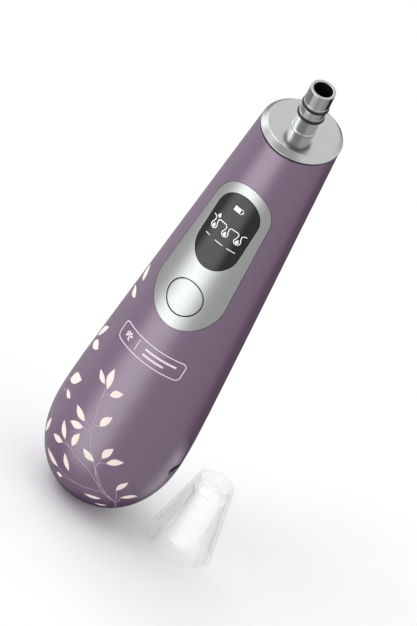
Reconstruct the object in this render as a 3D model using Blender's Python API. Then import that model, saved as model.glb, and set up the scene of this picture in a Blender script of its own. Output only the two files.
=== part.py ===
"""Hand-held blackhead vacuum extractor: egg-ended tapered body, tilted metal head with a nozzle, pump inside.

Frame: metres, +Z up the body's axis, the display faces -Y, the origin is the centre of the foot's underside.
"""
import math

import bmesh
import bpy
from mathutils import Matrix, Vector
from mathutils.geometry import interpolate_bezier

MM = 0.001

# ---- driving dimensions -------------------------------------------------------------------------------------
GAP = 0.3 * MM                    # clearance between pieces that touch

WIDEST_R = 23.4 * MM              # body: fattest radius, and the depth and fullness of its egg-shaped end
BASE_DEPTH = 29.6 * MM
BASE_FULLNESS = 2.2
TAPER_SLOPE = 0.082               # radius lost per length of body once the taper is established
TAPER_EASE = 10.3 * MM            # length over which the taper begins
WALL = 1.8 * MM

FOOT_R = 6.7 * MM                 # rubber foot that plugs the base
FOOT_PROUD = 0.4 * MM
FOOT_FLANGE_R = 8.6 * MM
FOOT_FLANGE_THICK = 1.2 * MM

HEAD_TILT = math.radians(14)      # the metal head leans towards the display
HEAD_Z = 158.1 * MM               # height of the cap's face on the body's axis
CAP_FACE_INSET = 1.7 * MM         # the face stops this far inside the cap's edge
CAP_CHAMFER = 1.8 * MM            # height of the cap's sloping edge
CAP_EDGE = 0.4 * MM               # upright band below the slope
CAP_PLUG_DEPTH = 3.0 * MM         # part of the cap that enters the body

NOZZLE_TALL = 18.2 * MM           # above the cap's face
NOZZLE_R = 3.95 * MM              # lower cylinder
NOZZLE_TIP_R = 4.3 * MM           # end section and the band between the rings
NOZZLE_FLANGE_R = 4.45 * MM
NOZZLE_FOOT_R = 4.7 * MM
NOZZLE_FOOT_TALL = 0.5 * MM
NOZZLE_MOUTH_R = 3.3 * MM
NOZZLE_MOUTH_DEPTH = 6.1 * MM
NOZZLE_BORE_R = 2.3 * MM
NOZZLE_BARB_R = 3.2 * MM
NOZZLE_BARB_DEPTH = 7.5 * MM      # below the cap's face
RING_LOWER = 6.6 * MM             # height of each O-ring above the cap's face
RING_UPPER = 11.1 * MM
RING_OUTER_R = 4.65 * MM
RING_WIRE_R = 0.55 * MM
FILTER_THICK = 3.0 * MM

PANEL_LOW_R = 12.7 * MM           # control panel: a pill, wider below, that follows the body's surface
PANEL_HIGH_R = 10.6 * MM
PANEL_BOTTOM = 80.9 * MM
PANEL_TOP = 137.1 * MM
LENS_R = 7.9 * MM                 # display lens: a stadium
LENS_BOTTOM = 105.2 * MM
LENS_TOP = 133.4 * MM
LENS_THICK = 1.2 * MM
BUTTON_R = 6.3 * MM
BUTTON_Z = 92.1 * MM
BUTTON_THICK = 1.5 * MM
BUTTON_TRAVEL = 0.5 * MM
PLUNGER_R = 1.5 * MM

BOARD_HALF_WIDTH = 9.0 * MM       # circuit board, upright behind the panel
BOARD_FRONT_Y = -6.6 * MM
BOARD_THICK = 1.6 * MM
BOARD_OVERHANG = 0.6 * MM         # the board reaches this far past the panel at each end
CARRIER_THICK = 2.4 * MM
CARRIER_INSET = 3.0 * MM
MODULE_HALF_WIDTH = 6.3 * MM
MODULE_THICK = 2.0 * MM
MODULE_INSET = 2.6 * MM           # display module is shorter than the lens by this at each end
SWITCH_SIDE = 6.0 * MM
SCREW_R = 0.9 * MM
SCREW_HEAD_R = 1.9 * MM
SCREW_HEAD_TALL = 1.2 * MM
SCREW_BITE = 3.2 * MM             # thread length past the clamped sheet

CELL_R = 7.0 * MM                 # one 14500 cell
CELL_LENGTH = 50.0 * MM
CELL_BOTTOM = 78.0 * MM
CELL_Y = 4.2 * MM
CELL_NUB_R = 2.3 * MM
CELL_NUB_TALL = 1.0 * MM
CRADLE_WALL = 1.0 * MM

PORT_Z = 28.4 * MM                # charging socket, in the seam on the +X side
PORT_HALF_WIDTH = 4.5 * MM
PORT_HALF_TALL = 1.6 * MM
PORT_LENGTH = 7.4 * MM
PORT_SET_BACK = 0.7 * MM
PORT_DEPTH = 5.9 * MM
PORT_SHELL = 0.35 * MM

MOTOR_R = 12.2 * MM
MOTOR_BOTTOM = 10.0 * MM
MOTOR_LENGTH = 31.0 * MM
MOTOR_CAP_R = 11.0 * MM
MOTOR_CAP_TALL = 2.4 * MM
SHAFT_R = 1.0 * MM
SHAFT_STICKS_OUT = 8.5 * MM
SHAFT_RUNNING_GAP = 0.3 * MM
ECCENTRIC_R = 5.0 * MM
ECCENTRIC_OFFSET = 1.2 * MM
ECCENTRIC_THICK = 4.0 * MM
ISOLATOR_BOTTOM = 33.0 * MM
ISOLATOR_TALL = 6.0 * MM

PUMP_R = 15.0 * MM                # pump head: a cup over the eccentric, closed by the valve plate
PUMP_BORE_R = 10.6 * MM
PUMP_TALL = 16.0 * MM
PUMP_ROOF = 2.6 * MM
PUMP_PORT_R = 5.0 * MM
PUMP_SCREW_CIRCLE_R = 12.8 * MM
PUMP_SCREWS = 3
PUMP_SCREW_START = math.radians(60)
VALVE_PLATE_THICK = 3.0 * MM
DIAPHRAGM_R = 9.4 * MM
DIAPHRAGM_THICK = 2.0 * MM
DIAPHRAGM_STROKE = 0.8 * MM
SPIGOT_R = 2.0 * MM
SPIGOT_TALL = 2.5 * MM
HOSE_R = 2.0 * MM
HOSE_X = 10.4 * MM
HOSE_CLEARANCE = 2.0 * MM         # to the shell where the hose starts to cross
HOSE_TURN_TALL = 24.0 * MM        # height over which the hose crosses to the nozzle
HOSE_STEPS = 8

VENT_SLOTS = 5
VENT_PITCH = 2.8 * MM
VENT_BOTTOM = 60.0 * MM
VENT_HALF_WIDTH = 4.5 * MM
VENT_HALF_TALL = 0.6 * MM

TIP_BASE_R = 12.0 * MM            # loose suction tip
TIP_TOP_R = 6.6 * MM
TIP_TALL = 28.0 * MM
TIP_WALL = 1.2 * MM
TIP_TUBE_R = 5.4 * MM
TIP_TUBE_WALL = 0.7 * MM
TIP_TUBE_BELOW_RIM = 4.0 * MM
TIP_TUBE_LIFT = 2.5 * MM          # the tube stops short of the base
TIP_WEB_THICK = 1.2 * MM
TIP_CLEARANCE = 1.0 * MM          # between the body's fattest place and the tip's base
TIP_BEARING = math.radians(15)    # direction of the tip from the body, from +X towards +Y

# ---- places worked out from them ----------------------------------------------------------------------------
FOOT_HOLE_R = FOOT_R + GAP
BASE_START = math.asin((FOOT_HOLE_R / WIDEST_R) ** (BASE_FULLNESS / 2))
WIDEST_Z = FOOT_PROUD + BASE_DEPTH * math.cos(BASE_START) ** (2 / BASE_FULLNESS)
CAP_HEIGHT = CAP_CHAMFER + CAP_EDGE
BOARD_BACK_Y = BOARD_FRONT_Y + BOARD_THICK
CARRIER_BACK_Y = BOARD_FRONT_Y - GAP
CARRIER_FRONT_Y = CARRIER_BACK_Y - CARRIER_THICK
MOTOR_TOP = MOTOR_BOTTOM + MOTOR_LENGTH
PUMP_BOTTOM = MOTOR_TOP + GAP
PUMP_TOP = PUMP_BOTTOM + PUMP_TALL
VALVE_TOP = PUMP_TOP + GAP + VALVE_PLATE_THICK
SPIGOT_TOP = VALVE_TOP + SPIGOT_TALL
ECCENTRIC_TOP = MOTOR_TOP + SHAFT_STICKS_OUT
DIAPHRAGM_BOTTOM = ECCENTRIC_TOP + GAP + DIAPHRAGM_STROKE
TIP_DISTANCE = WIDEST_R + TIP_BASE_R + TIP_CLEARANCE


def body_radius(z):
    """Outer radius of the body at height z."""
    if z < WIDEST_Z:
        depth = (WIDEST_Z - z) / BASE_DEPTH
        return WIDEST_R * (1 - depth ** BASE_FULLNESS) ** (1 / BASE_FULLNESS)
    return WIDEST_R - TAPER_SLOPE * (math.hypot(z - WIDEST_Z, TAPER_EASE) - TAPER_EASE)


# a tilted cut through a cone has its centre a little forward of the cone's axis
HEAD_FORWARD = body_radius(HEAD_Z) * TAPER_SLOPE * math.tan(HEAD_TILT)
HEAD = (Matrix.Translation((0, 0, HEAD_Z)) @ Matrix.Rotation(HEAD_TILT, 4, "X")
        @ Matrix.Translation((0, -HEAD_FORWARD, 0)))
CAP_R = body_radius(HEAD_Z - CAP_HEIGHT / math.cos(HEAD_TILT))
CAP_STRETCH = 1 / math.cos(HEAD_TILT)      # a tilted cut through a round body is longer front to back
CAP_PLUG_R = CAP_R - WALL - GAP - math.tan(HEAD_TILT) * (CAP_HEIGHT + CAP_PLUG_DEPTH)


# ---- materials ----------------------------------------------------------------------------------------------
def material(name, colour, roughness, metallic=0.0, alpha=1.0):
    made = bpy.data.materials.new(name)
    made.use_nodes = True
    shader = made.node_tree.nodes["Principled BSDF"]
    shader.inputs["Base Color"].default_value = (*colour, 1)
    shader.inputs["Roughness"].default_value = roughness
    shader.inputs["Metallic"].default_value = metallic
    shader.inputs["Alpha"].default_value = alpha
    return made


PURPLE = material("purple_lacquered_abs", (0.19, 0.13, 0.20), 0.35)
POLISHED = material("polished_plated_metal", (0.72, 0.73, 0.73), 0.12, 1.0)
SATIN = material("satin_plated_metal", (0.55, 0.56, 0.55), 0.3, 1.0)
LENS = material("black_acrylic", (0.02, 0.02, 0.02), 0.08)
RUBBER = material("black_rubber", (0.02, 0.02, 0.02), 0.7)
CLEAR = material("clear_polycarbonate", (0.9, 0.92, 0.93), 0.05, 0.0, 0.35)
BOARD = material("green_circuit_board", (0.03, 0.15, 0.06), 0.5)
WHITE = material("white_nylon", (0.75, 0.75, 0.73), 0.5)
DARK = material("black_nylon", (0.04, 0.04, 0.045), 0.5)
STEEL = material("zinc_plated_steel", (0.5, 0.5, 0.5), 0.35, 1.0)
SLEEVE = material("blue_cell_sleeve", (0.05, 0.15, 0.4), 0.4)
SILICONE = material("milky_silicone", (0.7, 0.7, 0.68), 0.5)
FOAM = material("grey_foam", (0.15, 0.15, 0.16), 0.95)


# ---- shape helpers ------------------------------------------------------------------------------------------
def finish(mesh_in_progress, name, finish_material, place=Matrix()):
    """Turn a bmesh into a named object with outward faces, smooth except at edges over 30 degrees."""
    bmesh.ops.recalc_face_normals(mesh_in_progress, faces=mesh_in_progress.faces)
    mesh = bpy.data.meshes.new(name)
    mesh_in_progress.to_mesh(mesh)
    mesh_in_progress.free()
    mesh.shade_smooth()
    mesh.set_sharp_from_angle(angle=math.radians(30))
    made = bpy.data.objects.new(name, mesh)
    bpy.context.scene.collection.objects.link(made)
    made.matrix_world = place
    if finish_material:
        made.data.materials.append(finish_material)
    return made


def turned(outline, steps, closed):
    """Spin (radius, height) points about Z; closed joins the last point to the first, as on a ring."""
    made = bmesh.new()
    verts = [made.verts.new((radius, 0, height)) for radius, height in outline]
    ends = verts[1:] + verts[:1] if closed else verts[1:]
    edges = [made.edges.new(pair) for pair in zip(verts, ends)]
    bmesh.ops.spin(made, geom=verts + edges, cent=(0, 0, 0), axis=(0, 0, 1), angle=math.tau, steps=steps)
    bmesh.ops.remove_doubles(made, verts=made.verts, dist=1e-6)
    return made


def ring(name, outline, finish_material, steps=32, place=Matrix()):
    return finish(turned(outline, steps, True), name, finish_material, place)


def plug(name, outline, finish_material, steps=32, place=Matrix()):
    """A turned solid whose outline starts and ends on the axis."""
    return finish(turned(outline, steps, False), name, finish_material, place)


def rod(radius, low, high):
    """Outline of a plain cylinder."""
    return [(0, low), (radius, low), (radius, high), (0, high)]


def screw(tip, seat):
    """Outline of a screw, its head resting at height seat."""
    top = seat + SCREW_HEAD_TALL
    return [(0, tip), (SCREW_R, tip), (SCREW_R, seat), (SCREW_HEAD_R, seat), (SCREW_HEAD_R, top), (0, top)]


def box(name, low, high, finish_material, place=Matrix()):
    low, high = Vector(low), Vector(high)
    made = bmesh.new()
    bmesh.ops.create_cube(made, size=1)
    bmesh.ops.scale(made, vec=high - low, verts=made.verts)
    bmesh.ops.translate(made, vec=(low + high) / 2, verts=made.verts)
    return finish(made, name, finish_material, place)


def prism(name, outline, y_front, y_back):
    """Extrude an (x, z) outline along Y: a cutter."""
    made = bmesh.new()
    face = made.faces.new([made.verts.new((x, y_front, z)) for x, z in outline])
    moved = bmesh.ops.extrude_face_region(made, geom=[face])["geom"]
    bmesh.ops.translate(made, vec=(0, y_back - y_front, 0),
                        verts=[item for item in moved if isinstance(item, bmesh.types.BMVert)])
    return finish(made, name, None)


def pill(low_r, high_r, bottom, top, grow=0.0, steps=14):
    """Outline of two circles and their common tangents, the lower one at the bottom."""
    low_centre = bottom + low_r
    high_centre = top - high_r
    lean = math.asin((low_r - high_r) / (high_centre - low_centre))
    points = []
    for radius, centre, start in ((high_r, high_centre, lean), (low_r, low_centre, math.pi - lean)):
        sweep = math.pi - 2 * lean if centre == high_centre else math.pi + 2 * lean
        for step in range(steps + 1):
            angle = start + sweep * step / steps
            points.append(((radius + grow) * math.cos(angle), centre + (radius + grow) * math.sin(angle)))
    return points


def cut(target, cutter, operation="DIFFERENCE"):
    modifier = target.modifiers.new(cutter.name, "BOOLEAN")
    modifier.operation = operation
    modifier.object = cutter
    cutter.hide_render = True
    cutter.display_type = "WIRE"


def circle(radius, centre_z, steps=28):
    return [(radius * math.cos(math.tau * step / steps), centre_z + radius * math.sin(math.tau * step / steps))
            for step in range(steps)]


def wall_band(name, bottom, top, outer_drop, inner_drop, finish_material, rows=10, steps=88):
    """A band of the body's wall, between two depths below its surface."""
    heights = [bottom + (top - bottom) * row / rows for row in range(rows + 1)]
    outside = [(body_radius(z) - outer_drop, z) for z in heights]
    inside = [(body_radius(z) - inner_drop, z) for z in reversed(heights)]
    return ring(name, outside + inside, finish_material, steps)


# ---- body ---------------------------------------------------------------------------------------------------
def egg_end(shrink, rows):
    """(radius, height) points of the body's end, from the foot's hole to the fattest place."""
    radius, depth = WIDEST_R - shrink, BASE_DEPTH - shrink
    power = 2 / BASE_FULLNESS
    start = math.asin((FOOT_HOLE_R / radius) ** (1 / power))
    angles = [start + (math.pi / 2 - start) * row / rows for row in range(rows + 1)]
    return [(radius * math.sin(angle) ** power, WIDEST_Z - depth * max(math.cos(angle), 0) ** power)
            for angle in angles]


def shell_half(name, front):
    reach = HEAD_Z + WIDEST_R
    rows = 12
    heights = [WIDEST_Z + (reach - WIDEST_Z) * row / rows for row in range(1, rows + 1)]
    outside = egg_end(0, 10) + [(body_radius(z), z) for z in heights]
    inside = egg_end(WALL, 6) + [(body_radius(z) - WALL, z) for z in heights]
    made = turned(outside + inside[::-1], 64, True)
    face_normal = HEAD.to_3x3() @ Vector((0, 0, 1))
    bisect(made, HEAD @ Vector((0, 0, -CAP_HEIGHT - GAP)), face_normal)
    bmesh.ops.bridge_loops(made, edges=[edge for edge in made.edges if edge.is_boundary])
    outward = Vector((0, 1, 0)) if front else Vector((0, -1, 0))
    bisect(made, -outward * GAP / 2, outward)
    bmesh.ops.holes_fill(made, edges=[edge for edge in made.edges if edge.is_boundary])
    return finish(made, name, PURPLE)


def bisect(made, point, normal):
    """Cut off what lies beyond a plane."""
    bmesh.ops.bisect_plane(made, geom=made.verts[:] + made.edges[:] + made.faces[:], dist=1e-7,
                           plane_co=point, plane_no=normal, clear_outer=True)


def body():
    front = shell_half("front_shell", True)
    panel_outline = pill(PANEL_LOW_R, PANEL_HIGH_R, PANEL_BOTTOM, PANEL_TOP, GAP)
    cut(front, prism("panel_hole", panel_outline, -2 * WIDEST_R, BOARD_FRONT_Y))
    rear = shell_half("rear_shell", False)
    for slot in range(VENT_SLOTS):
        height = VENT_BOTTOM + VENT_PITCH * slot
        cut(rear, box(f"vent_{slot + 1}", (-VENT_HALF_WIDTH, WIDEST_R / 2, height - VENT_HALF_TALL),
                      (VENT_HALF_WIDTH, 2 * WIDEST_R, height + VENT_HALF_TALL), None))
    hole_y, hole_z = PORT_HALF_WIDTH + GAP, PORT_HALF_TALL + GAP
    for half in (front, rear):
        cut(half, box("port_hole", (WIDEST_R / 2, -hole_y, PORT_Z - hole_z),
                      (2 * WIDEST_R, hole_y, PORT_Z + hole_z), None))
    shell_inside = egg_end(WALL, 6)[0][1]
    flange_z = shell_inside + WALL / 2 + GAP
    plug("base_foot", [(0, 0), (FOOT_R, 0), (FOOT_R, flange_z), (FOOT_FLANGE_R, flange_z),
                       (FOOT_FLANGE_R, flange_z + FOOT_FLANGE_THICK), (0, flange_z + FOOT_FLANGE_THICK)], RUBBER)


# ---- head ---------------------------------------------------------------------------------------------------
def head():
    hole = NOZZLE_R + GAP
    cap = ring("top_cap", [(hole, 0), (CAP_R - CAP_FACE_INSET, 0), (CAP_R, -CAP_CHAMFER), (CAP_R, -CAP_HEIGHT),
                           (CAP_PLUG_R, -CAP_HEIGHT), (CAP_PLUG_R, -CAP_HEIGHT - CAP_PLUG_DEPTH),
                           (hole, -CAP_HEIGHT - CAP_PLUG_DEPTH)], POLISHED, 64, HEAD)
    for vert in cap.data.vertices:
        if math.hypot(vert.co.x, vert.co.y) > (CAP_PLUG_R + CAP_R) / 2:
            vert.co.y *= CAP_STRETCH
    groove_r = RING_OUTER_R - 2 * RING_WIRE_R - GAP
    half_groove = RING_WIRE_R + GAP
    outline = [(NOZZLE_BORE_R, -NOZZLE_BARB_DEPTH), (NOZZLE_BARB_R, -NOZZLE_BARB_DEPTH),
               (NOZZLE_BARB_R, -CAP_HEIGHT), (NOZZLE_R, -CAP_HEIGHT), (NOZZLE_R, GAP), (NOZZLE_FOOT_R, GAP),
               (NOZZLE_FOOT_R, NOZZLE_FOOT_TALL / 2), (NOZZLE_R, NOZZLE_FOOT_TALL + GAP)]
    for centre, above in ((RING_LOWER, NOZZLE_TIP_R), (RING_UPPER, NOZZLE_FLANGE_R)):
        below = NOZZLE_R if centre == RING_LOWER else NOZZLE_TIP_R
        outline += [(below, centre - half_groove), (groove_r, centre - half_groove),
                    (groove_r, centre + half_groove), (above, centre + half_groove)]
    flange_top = RING_UPPER + half_groove + 2 * RING_WIRE_R
    step = NOZZLE_TALL - NOZZLE_MOUTH_DEPTH
    outline += [(NOZZLE_FLANGE_R, flange_top), (NOZZLE_TIP_R, flange_top), (NOZZLE_TIP_R, NOZZLE_TALL),
                (NOZZLE_MOUTH_R, NOZZLE_TALL), (NOZZLE_MOUTH_R, step), (NOZZLE_BORE_R, step)]
    ring("nozzle", outline, POLISHED, 32, HEAD)
    for name, centre in (("o_ring_lower", RING_LOWER), ("o_ring_upper", RING_UPPER)):
        middle = RING_OUTER_R - RING_WIRE_R
        section = [(middle + RING_WIRE_R * math.cos(math.tau * corner / 8),
                    centre + RING_WIRE_R * math.sin(math.tau * corner / 8)) for corner in range(8)]
        ring(name, section, RUBBER, 32, HEAD)
    filter_top = step - GAP
    plug("nozzle_filter", [(0, filter_top - FILTER_THICK), (NOZZLE_BORE_R - GAP, filter_top - FILTER_THICK),
                           (NOZZLE_BORE_R - GAP, filter_top), (0, filter_top)], FOAM, 16, HEAD)


# ---- control panel ------------------------------------------------------------------------------------------
def control_panel():
    far, near = -2 * WIDEST_R, CARRIER_FRONT_Y
    margin = LENS_THICK               # the bands run past their outlines by this before they are trimmed
    lens_outline = pill(LENS_R, LENS_R, LENS_BOTTOM, LENS_TOP)
    lens_hole = pill(LENS_R, LENS_R, LENS_BOTTOM, LENS_TOP, GAP)
    panel = wall_band("control_panel", PANEL_BOTTOM - margin, PANEL_TOP + margin, 0, WALL, SATIN)
    cut(panel, prism("panel_outline", pill(PANEL_LOW_R, PANEL_HIGH_R, PANEL_BOTTOM, PANEL_TOP), far, near),
        "INTERSECT")
    cut(panel, prism("lens_hole", lens_hole, far, near))
    cut(panel, prism("button_hole", circle(BUTTON_R + GAP, BUTTON_Z), far, near))
    lens = wall_band("display_lens", LENS_BOTTOM - margin, LENS_TOP + margin, 0, LENS_THICK, LENS, 6)
    cut(lens, prism("lens_outline", lens_outline, far, near), "INTERSECT")
    button = wall_band("mode_button", BUTTON_Z - BUTTON_R - margin, BUTTON_Z + BUTTON_R + margin, 0,
                       BUTTON_THICK, SATIN, 4)
    cut(button, prism("button_outline", circle(BUTTON_R, BUTTON_Z), far, near), "INTERSECT")


def lying(x, y, z):
    """Place that turns an upright solid to run along +Y from a point."""
    return Matrix.Translation((x, y, z)) @ Matrix.Rotation(-math.pi / 2, 4, "X")


def electronics():
    board_low, board_high = PANEL_BOTTOM - BOARD_OVERHANG, PANEL_TOP + BOARD_OVERHANG
    carrier_low, carrier_high = PANEL_BOTTOM + CARRIER_INSET, PANEL_TOP - CARRIER_INSET
    board = box("main_board", (-BOARD_HALF_WIDTH, BOARD_FRONT_Y, board_low),
                (BOARD_HALF_WIDTH, BOARD_BACK_Y, board_high), BOARD)
    carrier = box("panel_carrier", (-BOARD_HALF_WIDTH, CARRIER_FRONT_Y, carrier_low),
                  (BOARD_HALF_WIDTH, CARRIER_BACK_Y, carrier_high), DARK)
    half_switch = SWITCH_SIDE / 2
    window = half_switch + GAP
    cut(carrier, box("switch_window", (-window, CARRIER_FRONT_Y - GAP, BUTTON_Z - window),
                     (window, CARRIER_BACK_Y + GAP, BUTTON_Z + window), None))
    switch_face_y = CARRIER_FRONT_Y - GAP
    box("tact_switch", (-half_switch, switch_face_y, BUTTON_Z - half_switch),
        (half_switch, BOARD_FRONT_Y - GAP, BUTTON_Z + half_switch), DARK)
    box("display_module", (-MODULE_HALF_WIDTH, CARRIER_FRONT_Y - GAP - MODULE_THICK, LENS_BOTTOM + MODULE_INSET),
        (MODULE_HALF_WIDTH, CARRIER_FRONT_Y - GAP, LENS_TOP - MODULE_INSET), WHITE)
    plunger_back = switch_face_y - BUTTON_TRAVEL - GAP
    plunger_front = -(body_radius(BUTTON_Z + PLUNGER_R) - BUTTON_THICK) + GAP
    plug("switch_plunger", rod(PLUNGER_R, 0, plunger_back - plunger_front), DARK, 20,
         lying(0, plunger_front, BUTTON_Z))
    screw_rows = (carrier_low + 2 * SCREW_HEAD_R, (BUTTON_Z + half_switch + LENS_BOTTOM) / 2 + SCREW_HEAD_R)
    screw_x = BOARD_HALF_WIDTH - 1.5 * SCREW_HEAD_R
    head_y = BOARD_BACK_Y + GAP
    tip_y = CARRIER_FRONT_Y + SCREW_HEAD_TALL / 2
    hole_r = SCREW_R + GAP
    for count, height in enumerate(screw_rows, 1):
        at_board = lying(screw_x, BOARD_FRONT_Y - BOARD_THICK / 2, height)
        cut(board, plug(f"board_screw_hole_{count}", rod(hole_r, 0, 2 * BOARD_THICK), None, 20, at_board))
        at_carrier = lying(screw_x, tip_y - GAP, height)
        cut(carrier, plug(f"carrier_screw_hole_{count}", rod(hole_r, 0, CARRIER_THICK), None, 20, at_carrier))
        plug(f"board_screw_{count}", screw(0, head_y - tip_y), STEEL, 16, lying(screw_x, tip_y, height))


def power():
    cell_top = CELL_BOTTOM + CELL_LENGTH
    nub_bottom = cell_top - CELL_NUB_TALL
    plug("battery_cell", [(0, CELL_BOTTOM), (CELL_R, CELL_BOTTOM), (CELL_R, nub_bottom), (CELL_NUB_R, nub_bottom),
                          (CELL_NUB_R, cell_top), (0, cell_top)], SLEEVE, 32, Matrix.Translation((0, CELL_Y, 0)))
    inner, outer = CELL_R + GAP, CELL_R + GAP + CRADLE_WALL
    floor, brim = CELL_BOTTOM - GAP - CRADLE_WALL, cell_top + GAP
    cradle = turned([(0, floor), (outer, floor), (outer, brim), (inner, brim), (inner, CELL_BOTTOM - GAP),
                     (0, CELL_BOTTOM - GAP)], 32, False)
    bisect(cradle, Vector((0, 0, 0)), Vector((0, -1, 0)))
    bmesh.ops.holes_fill(cradle, edges=[edge for edge in cradle.edges if edge.is_boundary])
    finish(cradle, "battery_cradle", DARK, Matrix.Translation((0, CELL_Y, 0)))
    port_mouth = body_radius(PORT_Z) - PORT_SET_BACK
    port = box("charging_port", (port_mouth - PORT_LENGTH, -PORT_HALF_WIDTH, PORT_Z - PORT_HALF_TALL),
               (port_mouth, PORT_HALF_WIDTH, PORT_Z + PORT_HALF_TALL), STEEL)
    inside_y, inside_z = PORT_HALF_WIDTH - PORT_SHELL, PORT_HALF_TALL - PORT_SHELL
    cut(port, box("port_mouth", (port_mouth - PORT_DEPTH, -inside_y, PORT_Z - inside_z),
                  (port_mouth + GAP, inside_y, PORT_Z + inside_z), None))


# ---- vacuum pump --------------------------------------------------------------------------------------------
def pump():
    bearing_r = SHAFT_R + SHAFT_RUNNING_GAP
    cap_bottom = MOTOR_BOTTOM - GAP - MOTOR_CAP_TALL
    shaft_bottom = cap_bottom + MOTOR_CAP_TALL / 2
    plug("motor_end_cap", [(0, cap_bottom), (MOTOR_CAP_R, cap_bottom), (MOTOR_CAP_R, MOTOR_BOTTOM - GAP),
                           (bearing_r, MOTOR_BOTTOM - GAP), (bearing_r, shaft_bottom - GAP),
                           (0, shaft_bottom - GAP)], WHITE)
    ring("motor_can", [(bearing_r, MOTOR_BOTTOM), (MOTOR_R, MOTOR_BOTTOM), (MOTOR_R, MOTOR_TOP),
                       (bearing_r, MOTOR_TOP)], STEEL, 40)
    plug("motor_shaft", rod(SHAFT_R, shaft_bottom, ECCENTRIC_TOP - GAP), STEEL, 16)
    eccentric = plug("eccentric", rod(ECCENTRIC_R, ECCENTRIC_TOP - ECCENTRIC_THICK, ECCENTRIC_TOP), WHITE, 28,
                     Matrix.Translation((ECCENTRIC_OFFSET, 0, 0)))
    cut(eccentric, plug("shaft_hole", rod(bearing_r, MOTOR_TOP, PUMP_TOP), None, 16))
    isolator_top = ISOLATOR_BOTTOM + ISOLATOR_TALL
    isolator_r = min(body_radius(ISOLATOR_BOTTOM), body_radius(isolator_top)) - WALL - 2 * GAP
    ring("motor_isolator", [(MOTOR_R + GAP, ISOLATOR_BOTTOM), (isolator_r, ISOLATOR_BOTTOM),
                            (isolator_r, isolator_top), (MOTOR_R + GAP, isolator_top)], RUBBER, 40)
    roof = PUMP_TOP - PUMP_ROOF
    head_piece = ring("pump_head", [(PUMP_BORE_R, PUMP_BOTTOM), (PUMP_R, PUMP_BOTTOM), (PUMP_R, PUMP_TOP),
                                    (PUMP_PORT_R, PUMP_TOP), (PUMP_PORT_R, roof), (PUMP_BORE_R, roof)], DARK, 40)
    plug("diaphragm", rod(DIAPHRAGM_R, DIAPHRAGM_BOTTOM, DIAPHRAGM_BOTTOM + DIAPHRAGM_THICK), RUBBER)
    plate = plug("valve_plate", rod(PUMP_R, PUMP_TOP + GAP, VALVE_TOP), WHITE, 40)
    spigot_outline = rod(SPIGOT_R, VALVE_TOP - VALVE_PLATE_THICK / 2, SPIGOT_TOP)
    cut(plate, plug("spigot", spigot_outline, None, 20, Matrix.Translation((HOSE_X, 0, 0))), "UNION")
    hole_r = SCREW_R + GAP
    tip, seat = PUMP_TOP - SCREW_BITE, VALVE_TOP + GAP
    for count in range(PUMP_SCREWS):
        bearing = PUMP_SCREW_START + math.tau * count / PUMP_SCREWS
        x, y = PUMP_SCREW_CIRCLE_R * math.cos(bearing), PUMP_SCREW_CIRCLE_R * math.sin(bearing)
        place = Matrix.Translation((x, y, 0))
        for target, low, high in ((head_piece, tip - GAP, PUMP_TOP + GAP / 2), (plate, PUMP_TOP, seat)):
            cut(target, plug(f"{target.name}_hole_{count + 1}", rod(hole_r, low, high), None, 12, place))
        plug(f"pump_screw_{count + 1}", screw(tip, seat), STEEL, 12, place)


def suction_hose():
    """Silicone hose from the pump's spigot, straight up beside the cell, then over to the nozzle's barb."""
    end = HEAD @ Vector((0, 0, -NOZZLE_BARB_DEPTH - GAP))
    down = HEAD.to_3x3() @ Vector((0, 0, -1))
    start = Vector((HOSE_X, 0, SPIGOT_TOP + GAP))
    turn_z = end.z - HOSE_TURN_TALL
    turn = Vector((body_radius(turn_z) - WALL - HOSE_CLEARANCE - HOSE_R, 0, turn_z))
    grip = HOSE_TURN_TALL / 2
    straight = [start.lerp(turn, step / HOSE_STEPS) for step in range(HOSE_STEPS)]
    turning = interpolate_bezier(turn, turn + Vector((0, 0, grip)), end + down * grip, end, 2 * HOSE_STEPS)
    curve = bpy.data.curves.new("suction_hose", "CURVE")
    curve.dimensions = "3D"
    curve.bevel_depth = HOSE_R
    curve.bevel_resolution = 2
    curve.use_fill_caps = True
    curve.materials.append(SILICONE)
    spline = curve.splines.new("POLY")
    points = straight + turning
    spline.points.add(len(points) - 1)
    for made, point in zip(spline.points, points):
        made.co = (*point, 1)
    hose = bpy.data.objects.new("suction_hose", curve)
    bpy.context.scene.collection.objects.link(hose)


# ---- loose suction tip --------------------------------------------------------------------------------------
def suction_tip():
    slope = (TIP_BASE_R - TIP_TOP_R) / TIP_TALL
    rim = TIP_WALL / 2
    web_top = TIP_TALL - TIP_TUBE_BELOW_RIM
    web_bottom = web_top - TIP_WEB_THICK

    def outer(z):
        return TIP_BASE_R - slope * z

    outline = [(outer(0), 0)]
    for step in range(5):
        angle = math.pi * step / 4
        outline.append((outer(TIP_TALL) - rim + rim * math.cos(angle), TIP_TALL - rim + rim * math.sin(angle)))
    bore = TIP_TUBE_R - TIP_TUBE_WALL
    outline += [(outer(web_top) - TIP_WALL, web_top), (bore, web_top), (bore, TIP_TUBE_LIFT),
                (TIP_TUBE_R, TIP_TUBE_LIFT), (TIP_TUBE_R, web_bottom),
                (outer(web_bottom) - TIP_WALL, web_bottom), (outer(0) - TIP_WALL, 0)]
    ring("suction_tip", outline, CLEAR, 48, Matrix.Translation((TIP_DISTANCE * math.cos(TIP_BEARING),
                                                                TIP_DISTANCE * math.sin(TIP_BEARING), 0)))


for old in list(bpy.data.objects):
    bpy.data.objects.remove(old)
body()
head()
control_panel()
electronics()
power()
pump()
suction_hose()
suction_tip()
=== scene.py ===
"""Looks of the hand-held blackhead vacuum extractor.

Smooth lacquered shells, a plated head, printed leaves, a display under its window and a clear loose tip.
"""
import math

import bpy
from mathutils import Matrix, Vector


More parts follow.
